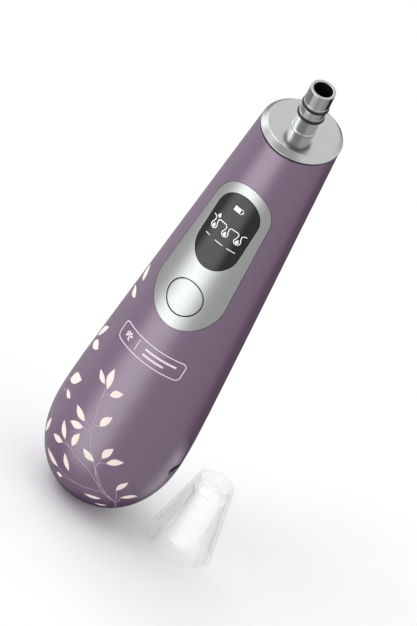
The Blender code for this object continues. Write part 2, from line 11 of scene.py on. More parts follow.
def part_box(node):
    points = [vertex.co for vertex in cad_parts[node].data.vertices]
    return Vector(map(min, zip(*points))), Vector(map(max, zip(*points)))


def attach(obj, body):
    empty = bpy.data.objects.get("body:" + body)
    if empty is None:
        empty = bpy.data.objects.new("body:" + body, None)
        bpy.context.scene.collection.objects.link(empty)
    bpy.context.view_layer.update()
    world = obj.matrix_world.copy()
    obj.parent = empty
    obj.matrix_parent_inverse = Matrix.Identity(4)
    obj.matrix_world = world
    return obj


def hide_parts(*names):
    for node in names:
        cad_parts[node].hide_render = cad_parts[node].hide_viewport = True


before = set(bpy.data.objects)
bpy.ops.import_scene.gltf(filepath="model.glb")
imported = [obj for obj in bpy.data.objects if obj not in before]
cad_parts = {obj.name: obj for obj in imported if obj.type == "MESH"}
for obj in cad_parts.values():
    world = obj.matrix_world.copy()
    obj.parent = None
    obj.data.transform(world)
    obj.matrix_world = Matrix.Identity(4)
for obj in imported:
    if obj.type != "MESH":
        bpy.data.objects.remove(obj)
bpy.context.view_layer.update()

MM = 0.001

# ---- the body's form, as the frame has it --------------------------------------------------------
WIDEST_R = 23.4 * MM
BASE_DEPTH = 29.6 * MM
BASE_FULLNESS = 2.2
TAPER_SLOPE = 0.082
TAPER_EASE = 10.3 * MM
WALL = 1.8 * MM
FOOT_HOLE_R = 7.0 * MM
FOOT_PROUD = 0.4 * MM
BASE_START = math.asin((FOOT_HOLE_R / WIDEST_R) ** (BASE_FULLNESS / 2))
WIDEST_Z = FOOT_PROUD + BASE_DEPTH * math.cos(BASE_START) ** (2 / BASE_FULLNESS)

# ---- the tilted head -----------------------------------------------------------------------------
HEAD_TILT = math.radians(14)
HEAD_Z = 158.1 * MM
CAP_CHAMFER = 1.8 * MM
CAP_HEIGHT = 2.2 * MM
CAP_FACE_INSET = 1.7 * MM
NOZZLE_TALL = 18.2 * MM
NOZZLE_R = 3.95 * MM
NOZZLE_TIP_R = 4.3 * MM
NOZZLE_FLANGE_R = 4.42 * MM
NOZZLE_FOOT_R = 4.25 * MM
NOZZLE_MOUTH_R = 3.3 * MM
NOZZLE_MOUTH_DEPTH = 6.1 * MM
NOZZLE_BORE_R = 2.3 * MM
RING_LOWER = 6.6 * MM
RING_UPPER = 11.1 * MM
RING_OUTER_R = 4.65 * MM
RING_WIRE_R = 0.55 * MM

# ---- panel, lens and button ----------------------------------------------------------------------
PANEL_LOW_R = 12.7 * MM
PANEL_HIGH_R = 10.6 * MM
LENS_R = 7.9 * MM
BUTTON_R = 6.3 * MM
PANEL_GAP = 0.16 * MM            # each gap is measured on one side
LENS_GAP = 0.12 * MM
BUTTON_GAP = 0.28 * MM
SOCKET_GAP = 0.25 * MM
LEAF_LIFT = 0.03 * MM            # how far the middle of a print stands off its surface
STEM_LIFT = 0.02 * MM
LENS_SIZE = (LENS_R, LENS_R, *[corner.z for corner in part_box("display_lens")])


def body_radius(z):
    """Outer radius of the body at height z."""
    if z < WIDEST_Z:
        depth = min((WIDEST_Z - z) / BASE_DEPTH, 1)
        return WIDEST_R * (1 - depth ** BASE_FULLNESS) ** (1 / BASE_FULLNESS)
    return WIDEST_R - TAPER_SLOPE * (math.hypot(z - WIDEST_Z, TAPER_EASE) - TAPER_EASE)


def body_slope(z):
    """How fast the radius changes with height."""
    step = 0.05 * MM
    return (body_radius(z + step) - body_radius(z - step)) / (2 * step)


HEAD_FORWARD = body_radius(HEAD_Z) * TAPER_SLOPE * math.tan(HEAD_TILT)
HEAD = (Matrix.Translation((0, 0, HEAD_Z)) @ Matrix.Rotation(HEAD_TILT, 4, "X")
        @ Matrix.Translation((0, -HEAD_FORWARD, 0)))
HEAD_UP = HEAD.to_3x3() @ Vector((0, 0, 1))
CAP_R = body_radius(HEAD_Z - CAP_HEIGHT / math.cos(HEAD_TILT))
CAP_STRETCH = 1 / math.cos(HEAD_TILT)


# ---- modelling helpers ---------------------------------------------------------------------------
SAME_POINT = 1e-7                # points nearer than this are one
SIDE_REACH = 40 * MM             # clear of the body on every side


def rest():
    """Leave edit mode with nothing selected."""
    if bpy.context.object and bpy.context.object.mode == "EDIT":
        bpy.ops.object.mode_set(mode="OBJECT")
    bpy.ops.object.select_all(action="DESELECT")


def take(piece):
    """Select one piece and make it the active one."""
    rest()
    piece.select_set(True)
    bpy.context.view_layer.objects.active = piece


def edit(piece):
    """Enter edit mode with the whole piece selected."""
    take(piece)
    bpy.ops.object.mode_set(mode="EDIT")
    bpy.ops.mesh.select_all(action="SELECT")


def apply(piece, kind, **settings):
    """Add a modifier with its settings and apply it."""
    take(piece)
    modifier = piece.modifiers.new(kind.lower(), kind)
    for name, value in settings.items():
        setattr(modifier, name, value)
    bpy.ops.object.modifier_apply(modifier=modifier.name)


def turned(name, outline, steps=96, closed=True, place=None):
    """Extrude a vertex along (radius, height) points, then spin the line about Z."""
    rest()
    bpy.ops.mesh.primitive_plane_add(size=MM, location=(0, 0, 0))
    piece = bpy.context.object
    piece.name = piece.data.name = name
    edit(piece)
    bpy.ops.mesh.merge(type="CENTER")
    bpy.ops.transform.translate(value=(outline[0][0], 0, outline[0][1]))
    for start, end in zip(outline, outline[1:] + outline[:1] if closed else outline[1:]):
        bpy.ops.mesh.extrude_region_move(
            TRANSFORM_OT_translate={"value": (end[0] - start[0], 0, end[1] - start[1])})
    bpy.ops.mesh.select_all(action="SELECT")
    bpy.ops.mesh.remove_doubles(threshold=SAME_POINT)
    bpy.ops.mesh.spin(steps=steps, angle=math.tau, center=(0, 0, 0), axis=(0, 0, 1))
    bpy.ops.mesh.select_all(action="SELECT")
    bpy.ops.mesh.remove_doubles(threshold=SAME_POINT)
    bpy.ops.mesh.normals_make_consistent(inside=False)
    rest()
    if place:
        piece.data.transform(place)
    return piece


def arc(centre, radius, start, end, steps):
    """Points of an arc, angles in degrees."""
    return [(centre[0] + radius * math.cos(math.radians(start + (end - start) * step / steps)),
             centre[1] + radius * math.sin(math.radians(start + (end - start) * step / steps)))
            for step in range(steps + 1)]


def eased(corners, radius, steps=4):
    """A closed outline with rounded corners, and a point each side of them so that flats stay flat."""
    outline = []
    for place, corner in enumerate(corners):
        corner = Vector(corner)
        back = Vector(corners[place - 1]) - corner
        ahead = Vector(corners[(place + 1) % len(corners)]) - corner
        reach = radius * math.tan((math.pi - back.angle(ahead)) / 2)
        reach = min(reach, 0.4 * min(back.length, ahead.length))
        start, end = corner + back.normalized() * reach, corner + ahead.normalized() * reach
        if back.length > 4 * reach:
            outline.append(tuple(start + back.normalized() * 0.4 * reach))
        for step in range(steps + 1):
            share = step / steps
            outline.append(tuple(start.lerp(corner, share).lerp(corner.lerp(end, share), share)))
        if ahead.length > 4 * reach:
            outline.append(tuple(end + ahead.normalized() * 0.4 * reach))
    return outline


def smooth(piece, degrees=35):
    """Shade smooth, with a sharp edge where faces meet at more than an angle."""
    take(piece)
    bpy.ops.object.shade_smooth_by_angle(angle=math.radians(degrees))


def cut_off(piece, point, normal):
    """Remove what lies beyond a plane."""
    edit(piece)
    bpy.ops.mesh.bisect(plane_co=point, plane_no=normal, clear_outer=True)
    rest()


def score(piece, low, high, pitch, axis):
    """Cut edges across a flat piece at even steps, so that it can bend there."""
    edit(piece)
    normal = [0, 0, 0]
    normal[axis] = 1
    count = int((high - low) / pitch)
    for line in range(1, count):
        point = [0, 0, 0]
        point[axis] = low + (high - low) * line / count
        bpy.ops.mesh.select_all(action="SELECT")
        bpy.ops.mesh.bisect(plane_co=point, plane_no=normal)
    rest()


def pill(low_r, high_r, bottom, top, grow=0.0, steps=32):
    """Outline of two circles and their common tangents, the first circle at the bottom."""
    low_centre, high_centre = bottom + low_r, top - high_r
    lean = math.degrees(math.asin((low_r - high_r) / (high_centre - low_centre)))
    return (arc((0, high_centre), high_r + grow, lean, 180 - lean, steps)
            + arc((0, low_centre), low_r + grow, 180 - lean, 360 + lean, steps))


def plate(name, outlines, thick, rounding):
    """A flat plate in the XZ plane with rounded rims: its front faces -Y at y = 0.

    The first outline is the rim and the others are holes, all drawn inside the finished edge by the rounding.
    """
    rest()
    curve = bpy.data.curves.new(name, "CURVE")
    curve.dimensions = "2D"
    curve.fill_mode = "BOTH"
    curve.extrude = thick / 2 - rounding
    curve.bevel_depth = rounding
    curve.bevel_resolution = 2
    for outline in outlines:
        spline = curve.splines.new("POLY")
        spline.points.add(len(outline) - 1)
        for made, (x, z) in zip(spline.points, outline):
            made.co = (x, z, 0, 1)
        spline.use_cyclic_u = True
    piece = bpy.data.objects.new(name, curve)
    bpy.context.scene.collection.objects.link(piece)
    take(piece)
    bpy.ops.object.convert(target="MESH")
    piece = bpy.context.object
    piece.data.transform(Matrix.Translation((0, thick / 2, 0)) @ Matrix.Rotation(math.pi / 2, 4, "X"))
    edit(piece)
    bpy.ops.mesh.remove_doubles(threshold=10 * SAME_POINT)
    bpy.ops.mesh.normals_make_consistent(inside=False)
    rest()
    return piece


def wrap(piece, drop=0.0):
    """Bend a flat XZ piece straight back onto the body: y is its depth under the surface."""
    for vert in piece.data.vertices:
        x, depth, z = vert.co
        radius = body_radius(z) - drop - depth
        vert.co.y = -math.sqrt(max(radius * radius - x * x, 0))


def shade_like_body(piece, drop=0.0):
    """Give vertices on the body's surface the surface's own normal, so that cuts leave no marks."""
    smooth(piece)
    lowest, nearness = FOOT_PROUD + 0.2 * MM, 0.02 * MM
    normals = []
    for vert in piece.data.vertices:
        x, y, z = vert.co
        if z > lowest and abs(math.hypot(x, y) - body_radius(z) + drop) < nearness:
            normals.append(Vector((x, y, -body_slope(z) * math.hypot(x, y))).normalized())
        else:
            normals.append(Vector((0, 0, 0)))
    piece.data.normals_split_custom_set_from_vertices(normals)


def stand_for(piece, body, slot, *nodes):
    """Attach a finished piece to its body and hide the frame nodes it replaces; the slot argument is not
    used.
    """
    rest()
    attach(piece, body)
    if nodes:
        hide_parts(*nodes)


# ---- materials -----------------------------------------------------------------------------------
DRIFT_MM = 25                    # how slowly a colour drifts over a piece


def srgb(code):
    """A linear colour from an sRGB hex value."""
    channels = [int(code[place:place + 2], 16) / 255 for place in (0, 2, 4)]
    return (*[c / 12.92 if c <= 0.04045 else ((c + 0.055) / 1.055) ** 2.4 for c in channels], 1)


def node(tree, kind, settings, inputs):
    """Add a node; an input is a value, or an output socket to link."""
    made = tree.nodes.new(kind)
    for name, value in settings.items():
        setattr(made, name, value)
    for socket, value in inputs.items():
        if isinstance(value, bpy.types.NodeSocket):
            tree.links.new(value, made.inputs[socket])
        else:
            made.inputs[socket].default_value = value
    return made


def speckled(name, dark, light, grain_mm, rough, rough_spread, bump_mm, stretch=(1, 1, 1), **constants):
    """A finish whose gloss and height vary with one grain, given by its real size; its colour drifts."""
    made = bpy.data.materials.new(name)
    made.use_nodes = True
    tree = made.node_tree
    shader = tree.nodes["Principled BSDF"]
    for socket, value in constants.items():
        shader.inputs[socket.replace("_", " ")].default_value = value
    place = node(tree, "ShaderNodeTexCoord", {}, {}).outputs["Object"]
    turned_place = node(tree, "ShaderNodeMapping", {}, {"Vector": place, "Scale": stretch}).outputs[0]
    grain = node(tree, "ShaderNodeTexNoise", {}, {"Vector": turned_place, "Scale": 1 / (grain_mm * MM),
                                                  "Detail": 3.0}).outputs["Fac"]
    drift = node(tree, "ShaderNodeTexNoise", {}, {"Vector": place,
                                                  "Scale": 1 / (DRIFT_MM * MM)}).outputs["Fac"]
    colour = node(tree, "ShaderNodeMix", {"data_type": "RGBA"}, {0: drift, 6: srgb(dark), 7: srgb(light)})
    gloss = node(tree, "ShaderNodeMapRange", {}, {"Value": grain, "To Min": rough - rough_spread,
                                                  "To Max": rough + rough_spread})
    bump = node(tree, "ShaderNodeBump", {}, {"Height": grain, "Distance": bump_mm * MM, "Strength": 1.0})
    tree.links.new(colour.outputs[2], shader.inputs["Base Color"])
    tree.links.new(gloss.outputs[0], shader.inputs["Roughness"])
    tree.links.new(bump.outputs[0], shader.inputs["Normal"])
    return made


# Injection-moulded ABS under a satin lacquer: a soft wide highlight and the faint orange peel of spray.
LACQUER = speckled("satin_lacquered_abs", "674969", "6B4D6D", 0.9, 0.36, 0.03, 0.0012, Coat_Weight=1.0,
                   Coat_Roughness=0.3, Specular_IOR_Level=0.95)
# Plated and buffed zinc: bright, with fine polishing haze.
POLISHED = speckled("buffed_nickel_plate", "C3C5C4", "C8CAC9", 0.5, 0.19, 0.04, 0.0004, Metallic=1.0)
# The same plate on the turned nozzle, a little finer, and a near-black material inside its mouth: painted
# shade for the deep bore.
NOZZLE_PLATE = speckled("turned_nickel_plate", "BFC1C0", "C4C6C5", 0.5, 0.16, 0.04, 0.0004, Metallic=1.0)
BORE_PAINTED_SHADE = speckled("painted_bore_shade", "050505", "0A0A0A", 0.5, 0.6, 0.08, 0.002)
# Plated zinc with a fine upright brushing: a broad silvery sheen, with no sharp reflections.
SATIN = speckled("satin_brushed_plate", "B7BAB8", "BBBEBC", 0.35, 0.42, 0.04, 0.0008, (1, 1, 0.05),
                 Metallic=1.0)
# Cast acrylic with a black back print: deep, glossy and almost flawless.
BLACK_ACRYLIC = speckled("back_printed_acrylic", "0B0B0B", "0E0E0E", 4.0, 0.16, 0.02, 0.0,
                         Specular_IOR_Level=0.45, Coat_Weight=0.15, Coat_Roughness=0.06)
# Moulded nitrile rubber: dull, with a faint mould texture.
NITRILE = speckled("moulded_nitrile_rubber", "111111", "171717", 0.25, 0.5, 0.08, 0.004)
# Opaque pad-printed inks for the leaves, the stems and the label: flat soft colour, dry to the touch.
CREAM_INK = speckled("cream_pad_ink", "F3E4DC", "F8ECE4", 0.4, 0.5, 0.06, 0.001)
MAUVE_INK = speckled("mauve_pad_ink", "BBA7BB", "C2AEC1", 0.4, 0.5, 0.06, 0.001)
PALE_INK = speckled("pale_pad_ink", "EAD9E6", "F0E0EB", 0.4, 0.5, 0.06, 0.001)
# White print of the display symbols, lit a little from behind: even and bright on the black window.
SYMBOL = speckled("white_display_print", "E8E8E8", "F2F2F2", 0.6, 0.35, 0.03, 0.0, Emission_Strength=0.35,
                  Emission_Color=(1, 1, 1, 1))
# Injection-moulded clear polycarbonate: almost unseen, with bright rims.
CLEAR = speckled("clear_polycarbonate", "FDFEFE", "FFFFFF", 3.0, 0.02, 0.01, 0.0005, Transmission_Weight=1.0,
                 IOR=1.5, Alpha=0.2)
# The same plastic with a frosted surface: a milky white core that shows through the clear cone, with a faint
# painted glow that brightens it.
FROSTED_PAINTED_GLOW = speckled("frosted_polycarbonate_painted_glow", "FCFCFC", "FFFFFF", 0.8, 0.35, 0.06, 0.002, Alpha=0.88,
                   Emission_Color=(1, 1, 1, 1), Emission_Strength=0.12)
# Moulded natural nylon on inside pieces: off-white and matt.
WHITE_NYLON = speckled("moulded_white_nylon", "CFCFCA", "DADAD5", 0.4, 0.5, 0.08, 0.004)
# Moulded black nylon: dark grey, with a dull sheen.
BLACK_NYLON = speckled("moulded_black_nylon", "161617", "1E1E20", 0.4, 0.5, 0.08, 0.004)
# Zinc-plated steel of screws and the motor: grey metal, a little cloudy.
ZINC = speckled("zinc_plated_steel", "8F9092", "9C9D9F", 0.3, 0.35, 0.08, 0.002, Metallic=1.0)
# Steel with a black zinc plate, round the charging socket: almost black, with a metal glint.
BLACK_ZINC = speckled("black_zinc_plate", "18181A", "202022", 0.3, 0.4, 0.08, 0.002, Metallic=1.0)
# Solder resist on a glass-fibre board: deep green, smooth and glossy.
RESIST = speckled("green_solder_resist", "0F4A24", "1B5E30", 1.2, 0.35, 0.06, 0.01)
# Heat-shrink sleeve on the battery cell: blue, tight and glossy.
SLEEVE = speckled("blue_shrink_sleeve", "1B3F7E", "22498C", 2.0, 0.3, 0.05, 0.004)
# Extruded silicone hose: milky and half clear, with a waxy sheen.
SILICONE = speckled("milky_silicone", "C9C9C3", "D4D4CE", 1.0, 0.45, 0.05, 0.003, Transmission_Weight=0.3)
# Open-cell foam of the filter: dark and dull, its cells rough at their real size.
FOAM = speckled("open_cell_foam", "1B1B1C", "333335", 0.35, 0.9, 0.05, 0.12)


# ---- body shells ---------------------------------------------------------------------------------
def body_skin(name):
    """The outer skin of the body, foot hole to head, as one turned surface."""
    power = 2 / BASE_FULLNESS
    base_rows, side_rows = 40, 70
    outline = []
    for row in range(base_rows + 1):
        angle = BASE_START + (math.pi / 2 - BASE_START) * row / base_rows
        outline.append((WIDEST_R * math.sin(angle) ** power,
                        WIDEST_Z - BASE_DEPTH * max(math.cos(angle), 0) ** power))
    top = HEAD_Z + 8 * MM            # above the slanting cut under the cap
    for row in range(1, side_rows + 1):
        z = WIDEST_Z + (top - WIDEST_Z) * row / side_rows
        outline.append((body_radius(z), z))
    return turned(name, outline, steps=200, closed=False)


def shell(name, side):
    """Half of the body: side is -1 for the front and 1 for the rear."""
    seam_gap, cap_gap, edge = 0.05 * MM, 0.12 * MM, 0.08 * MM
    piece = body_skin(name)
    cut_off(piece, HEAD @ Vector((0, 0, -CAP_HEIGHT - cap_gap)), HEAD_UP)
    cut_off(piece, (0, side * seam_gap, 0), (0, -side, 0))
    apply(piece, "SOLIDIFY", thickness=WALL, offset=-1, use_even_offset=True)
    apply(piece, "BEVEL", width=edge, segments=2, limit_method="ANGLE", angle_limit=math.radians(60))
    return piece


def cutter(outline, start, end, place=Matrix()):
    """A prism along Y, or along another way that the place gives it."""
    rest()
    blade = plate("cutter", [outline], end - start, 0)
    blade.data.transform(place @ Matrix.Translation((0, start, 0)))
    return blade


def slot(half_wide, half_tall, z, grow=0.0, steps=12):
    """Outline of a round-ended slot."""
    centre, radius = half_wide - half_tall, half_tall + grow
    return arc((centre, z), radius, -90, 90, steps) + arc((-centre, z), radius, 90, 270, steps)


TO_SIDE = Matrix.Rotation(math.pi / 2, 4, "Z")        # turns a piece that faces -Y to face +X


def subtract(piece, blade):
    """Cut a blade out of a piece and throw the blade away."""
    apply(piece, "BOOLEAN", operation="DIFFERENCE", solver="EXACT", object=blade)
    bpy.data.objects.remove(blade)


def shells():
    """Front and rear shell, opened for the panel, the air vents and the charging socket."""
    panel_low, panel_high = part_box("control_panel")
    front = shell("front_cover", -1)
    outline = pill(PANEL_LOW_R, PANEL_HIGH_R, panel_low.z, panel_high.z, PANEL_GAP)
    subtract(front, cutter(outline, -SIDE_REACH, -6 * MM))
    rear = shell("rear_cover", 1)
    vents, half_wide, half_tall, pitch, lowest = 5, 4.5 * MM, 0.6 * MM, 2.8 * MM, 60.0 * MM
    for vent in range(vents):
        subtract(rear, cutter(slot(half_wide, half_tall, lowest + pitch * vent), 10 * MM, SIDE_REACH))
    low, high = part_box("charging_port")
    opening = slot(high.y, (high.z - low.z) / 2, (low.z + high.z) / 2, SOCKET_GAP, 24)
    for piece, node_name in ((front, "front_shell"), (rear, "rear_shell")):
        subtract(piece, cutter(opening, -SIDE_REACH, -10 * MM, TO_SIDE))
        shade_like_body(piece)
        piece.data.materials.append(LACQUER)
        stand_for(piece, "handset", "body_lacquer", node_name)


def foot():
    """A dished rubber button that is held inside the shells by its wider head."""
    low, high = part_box("base_foot")
    radius, bead, dish = FOOT_HOLE_R - 0.15 * MM, 0.5 * MM, 0.3 * MM
    neck_top, head_bottom = low.z + 2.3 * MM, low.z + 2.6 * MM
    outline = [(0, dish), (radius - 2.2 * MM, dish), (radius - 2.4 * MM, 0)]
    outline += arc((radius - bead, bead), bead, -90, 0, 6)
    outline += [(radius, neck_top), (high.x, head_bottom), (high.x, high.z), (0, high.z)]
    piece = turned("rubber_foot", outline, steps=64, closed=False)
    smooth(piece)
    piece.data.materials.append(NITRILE)
    stand_for(piece, "handset", "black_rubber", "base_foot")


# ---- head ----------------------------------------------------------------------------------------
def cap():
    """The slanting top cap: a chamfered face, and a plug that goes down inside the shells."""
    hole, plug_r = NOZZLE_R + 0.1 * MM, CAP_R - 4 * MM
    bottom = -CAP_HEIGHT - 3 * MM
    corners = [(hole, 0), (CAP_R - CAP_FACE_INSET, 0), (CAP_R, -CAP_CHAMFER), (CAP_R, -CAP_HEIGHT),
               (plug_r, -CAP_HEIGHT), (plug_r, bottom), (hole, bottom)]
    piece = turned("plated_cap", eased(corners, 0.22 * MM), steps=160)
    for vert in piece.data.vertices:
        if math.hypot(vert.co.x, vert.co.y) > plug_r + 0.3 * MM:
            vert.co.y *= CAP_STRETCH
    piece.data.transform(HEAD)
    smooth(piece, 30)
    piece.data.materials.append(POLISHED)
    stand_for(piece, "handset", "polished_metal", "top_cap")


def nozzle():
    """The turned nozzle: hose barb, foot on the cap, two ring grooves, flange and a stepped bore."""
    half_groove = RING_WIRE_R + 0.08 * MM
    groove_r = RING_OUTER_R - 2 * RING_WIRE_R - 0.02 * MM
    flange_top = RING_UPPER + half_groove + 0.7 * MM
    step = NOZZLE_TALL - NOZZLE_MOUTH_DEPTH
    barb_r, barb_bottom = 3.2 * MM, -7.5 * MM
    foot_bottom, foot_edge, foot_top = 0.02 * MM, 0.3 * MM, 0.5 * MM
    corners = [(NOZZLE_BORE_R, barb_bottom), (barb_r, barb_bottom), (barb_r, -CAP_HEIGHT),
               (NOZZLE_R, -CAP_HEIGHT), (NOZZLE_R, foot_bottom),
               (NOZZLE_FOOT_R, foot_bottom), (NOZZLE_FOOT_R, foot_edge), (NOZZLE_R, foot_top),
               (NOZZLE_R, RING_LOWER - half_groove), (groove_r, RING_LOWER - half_groove),
               (groove_r, RING_LOWER + half_groove), (NOZZLE_TIP_R, RING_LOWER + half_groove),
               (NOZZLE_TIP_R, RING_UPPER - half_groove), (groove_r, RING_UPPER - half_groove),
               (groove_r, RING_UPPER + half_groove), (NOZZLE_FLANGE_R, RING_UPPER + half_groove),
               (NOZZLE_FLANGE_R, flange_top), (NOZZLE_TIP_R, flange_top + 0.1 * MM),
               (NOZZLE_TIP_R, NOZZLE_TALL), (NOZZLE_MOUTH_R, NOZZLE_TALL),
               (NOZZLE_MOUTH_R, step), (NOZZLE_BORE_R, step)]
    piece = turned("plated_nozzle", eased(corners, 0.18 * MM), place=HEAD)
    smooth(piece, 40)
    piece.data.materials.append(NOZZLE_PLATE)
    piece.data.materials.append(BORE_PAINTED_SHADE)
    # the faces inside the mouth get the near-black material: painted shade in the deep bore
    upright = HEAD.inverted()
    for face in piece.data.polygons:
        x, y, z = upright @ face.center
        if math.hypot(x, y) < NOZZLE_MOUTH_R + 0.02 * MM and step - 1 * MM < z < NOZZLE_TALL - 0.15 * MM:
            face.material_index = 1
    stand_for(piece, "handset", "polished_metal", "nozzle")


def o_rings():
    """The two seal rings, each with the thin flash line that moulding leaves round its outside."""
    rings = (("o_ring_lower", RING_LOWER), ("o_ring_upper", RING_UPPER))
    flash, outermost = 0.03 * MM, RING_OUTER_R - 0.02 * MM
    for count, (node_name, centre) in enumerate(rings, 1):
        rest()
        bpy.ops.mesh.primitive_torus_add(major_radius=RING_OUTER_R - RING_WIRE_R, minor_radius=RING_WIRE_R,
                                         major_segments=96, minor_segments=16)
        piece = bpy.context.object
        piece.name = f"seal_ring_{count}"
        for vert in piece.data.vertices:
            if math.hypot(vert.co.x, vert.co.y) > outermost:
                vert.co.x *= 1 + flash / RING_OUTER_R
                vert.co.y *= 1 + flash / RING_OUTER_R
        piece.data.transform(HEAD @ Matrix.Translation((0, 0, centre)))
        smooth(piece, 60)
        piece.data.materials.append(NITRILE)
        stand_for(piece, "handset", "black_rubber", node_name)


# ---- control panel -------------------------------------------------------------------------------
def front_piece(name, outlines, thick, rounding, width, low, high, drop=0.0):
    """A plate scored and wrapped on the body's front."""
    across, along = 1.0 * MM, 2.0 * MM           # how far apart it is scored
    piece = plate(name, outlines, thick, rounding)
    score(piece, -width, width, across, 0)
    score(piece, low, high, along, 2)
    wrap(piece, drop)
    shade_like_body(piece, drop)
    return piece


def ring(centre_z, radius):
    """Outline of a circle on the panel, in even steps."""
    steps = 144
    return arc((0, centre_z), radius, 0, 360 - 360 / steps, steps - 1)


def control_panel():
    """The brushed panel, the display window in it and the round key under that."""
    low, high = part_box("control_panel")
    lens_low, lens_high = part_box("display_lens")
    button_low, button_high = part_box("mode_button")
    button_z = (button_low.z + button_high.z) / 2
    edge = 0.14 * MM
    rim = pill(PANEL_LOW_R, PANEL_HIGH_R, low.z, high.z, -edge, 40)
    lens_hole = pill(*LENS_SIZE, LENS_GAP + edge)
    button_hole = ring(button_z, BUTTON_R + BUTTON_GAP + edge)
    panel = front_piece("satin_panel", [rim, lens_hole, button_hole], WALL, edge, 13 * MM, low.z, high.z)
    panel.data.materials.append(SATIN)
    stand_for(panel, "handset", "satin_metal", "control_panel")

    edge = 0.12 * MM
    glass = front_piece("display_window", [pill(*LENS_SIZE, -edge)], 1.2 * MM, edge, 8 * MM,
                        lens_low.z, lens_high.z)
    glass.data.materials.append(BLACK_ACRYLIC)
    stand_for(glass, "handset", "display_black", "display_lens")

    edge = 0.3 * MM
    key = front_piece("round_key", [ring(button_z, BUTTON_R - edge)], 1.5 * MM, edge, 6.6 * MM,
                      button_low.z, button_high.z)
    key.data.materials.append(SATIN)
    stand_for(key, "button", "satin_metal", "mode_button")


def ribbon(points, width, closed=False):
    """Outline of a line of even width along (x, z) points."""
    sides = ([], [])
    count = len(points)
    for place, (x, z) in enumerate(points):
        before = points[place - 1] if place or closed else points[0]
        after = points[(place + 1) % count] if place < count - 1 or closed else points[-1]
        along = Vector((after[0] - before[0], after[1] - before[1])).normalized() * width / 2
        sides[0].append((x - along.y, z + along.x))
        sides[1].append((x + along.y, z - along.x))
    return [sides[0], sides[1][::-1]] if closed else [sides[0] + sides[1][::-1]]


def join(name, pieces):
    """Make several pieces one."""
    rest()
    for piece in pieces:
        piece.select_set(True)
    bpy.context.view_layer.objects.active = pieces[0]
    bpy.ops.object.join()
    pieces[0].name = name
    return pieces[0]


def flat_print(name, groups):
    """Print shapes drawn flat: each group is an outline and its holes."""
    thick = 0.05 * MM
    return join(name, [plate(f"{name}_{count}", outlines, thick, 0) for count, outlines in enumerate(groups)])


def teardrop(x, z, size):
    """A drop of that radius, its point upwards."""
    return arc((x, z), size, 150, 390, 14) + [(x + 0.35 * size, z + 1.35 * size), (x, z + 2.1 * size),
                                              (x - 0.35 * size, z + 1.35 * size)]


def display_symbols():
    """Three pores under a line of skin with drops in and over them, three level bars and a battery sign."""
    lens_low, lens_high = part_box("display_lens")
    middle = (lens_low.z + lens_high.z) / 2
    skin = middle + 2.4 * MM            # height of the drawn skin line
    bulb = middle - 0.4 * MM            # centre of the round pores under it
    pores = (-4.7 * MM, 0, 4.7 * MM)
    skin_line, bar_line, sign_line = 0.26 * MM, 0.22 * MM, 0.18 * MM
    path = []
    for x in pores:
        path += [(x - 2.0 * MM, skin), (x - 1.1 * MM, skin), (x - 0.5 * MM, skin - 0.6 * MM)]
        path += arc((x, bulb), 1.1 * MM, 135, 405, 18)
        path += [(x + 0.5 * MM, skin - 0.6 * MM), (x + 1.1 * MM, skin), (x + 2.0 * MM, skin)]
    groups = [ribbon(path, skin_line)]
    for x in pores:
        groups.append([teardrop(x, bulb - 0.25 * MM, 0.52 * MM)])
    groups.append([teardrop(pores[0], skin + 0.7 * MM, 0.55 * MM)])
    bar = middle - 4.3 * MM
    for start, end in ((-5.8, -4.0), (-1.7, 1.4), (3.0, 6.1)):
        groups.append(ribbon([(start * MM, bar), (end * MM, bar)], bar_line))
    cell = middle + 9.1 * MM            # centre height of the battery sign
    half, left, right, full = 0.75 * MM, -1.8 * MM, 1.3 * MM, 0.5 * MM

    def block(start, end, tall):
        return [(start, cell - tall), (end, cell - tall), (end, cell + tall), (start, cell + tall)]

    groups.append(ribbon(block(left, right, half), sign_line, closed=True))
    groups.append([block(left, full, half)])
    groups.append([block(right + 0.12 * MM, right + 0.4 * MM, 0.3 * MM)])
    piece = flat_print("display_symbols", groups)
    score(piece, -8 * MM, 8 * MM, 0.8 * MM, 0)
    wrap(piece, -STEM_LIFT)
    smooth(piece)
    piece.data.materials.append(SYMBOL)
    stand_for(piece, "handset", "display_black")


# ---- print on the body ---------------------------------------------------------------------------
def on_body(angle, z, lift):
    """The point on the body at an angle from the display side, in radians, and a height."""
    radius = body_radius(z) + lift
    return Vector((radius * math.sin(angle), -radius * math.cos(angle), z))


def label():
    """A rounded frame with a divider, a four-petalled mark and two plain bars."""
    low_z, high_z, reach, corner = 65.0 * MM, 71.6 * MM, 13.3 * MM, 1.6 * MM
    frame_line, divider_line, bar_line = 0.34 * MM, 0.26 * MM, 0.75 * MM
    divider_x, divider_short, mark_x = -4.6 * MM, 1.1 * MM, -9.0 * MM
    middle = (low_z + high_z) / 2
    rim = []
    for x, z, start in ((reach, high_z, 0), (-reach, high_z, 90), (-reach, low_z, 180), (reach, low_z, 270)):
        centre = (x - math.copysign(corner, x), z - math.copysign(corner, z - middle))
        rim += arc(centre, corner, start, start + 90, 10)
    groups = [ribbon(rim, frame_line, closed=True),
              ribbon([(divider_x, low_z + divider_short), (divider_x, high_z - divider_short)], divider_line)]
    petal = arc((0.95 * MM, 0), 0.85 * MM, 20, 340, 14) + [(0.1 * MM, 0)]
    for turn in (45, 135, 225, 315):
        swing = math.radians(turn)
        groups.append([[(mark_x + x * math.cos(swing) - z * math.sin(swing),
                         middle + x * math.sin(swing) + z * math.cos(swing)) for x, z in petal]])
    for start, end, z in ((-1.4, 10.4, 0.9), (-1.4, 6.6, -1.1)):
        groups.append(ribbon([(start * MM, middle + z * MM), (end * MM, middle + z * MM)], bar_line))
    piece = flat_print("label_frame", groups)
    score(piece, -reach, reach, 0.8 * MM, 0)
    for vert in piece.data.vertices:
        x, depth, z = vert.co
        vert.co = on_body(x / body_radius(z), z, LEAF_LIFT - depth)
    smooth(piece)
    piece.data.materials.append(PALE_INK)
    stand_for(piece, "handset", "body_lacquer")


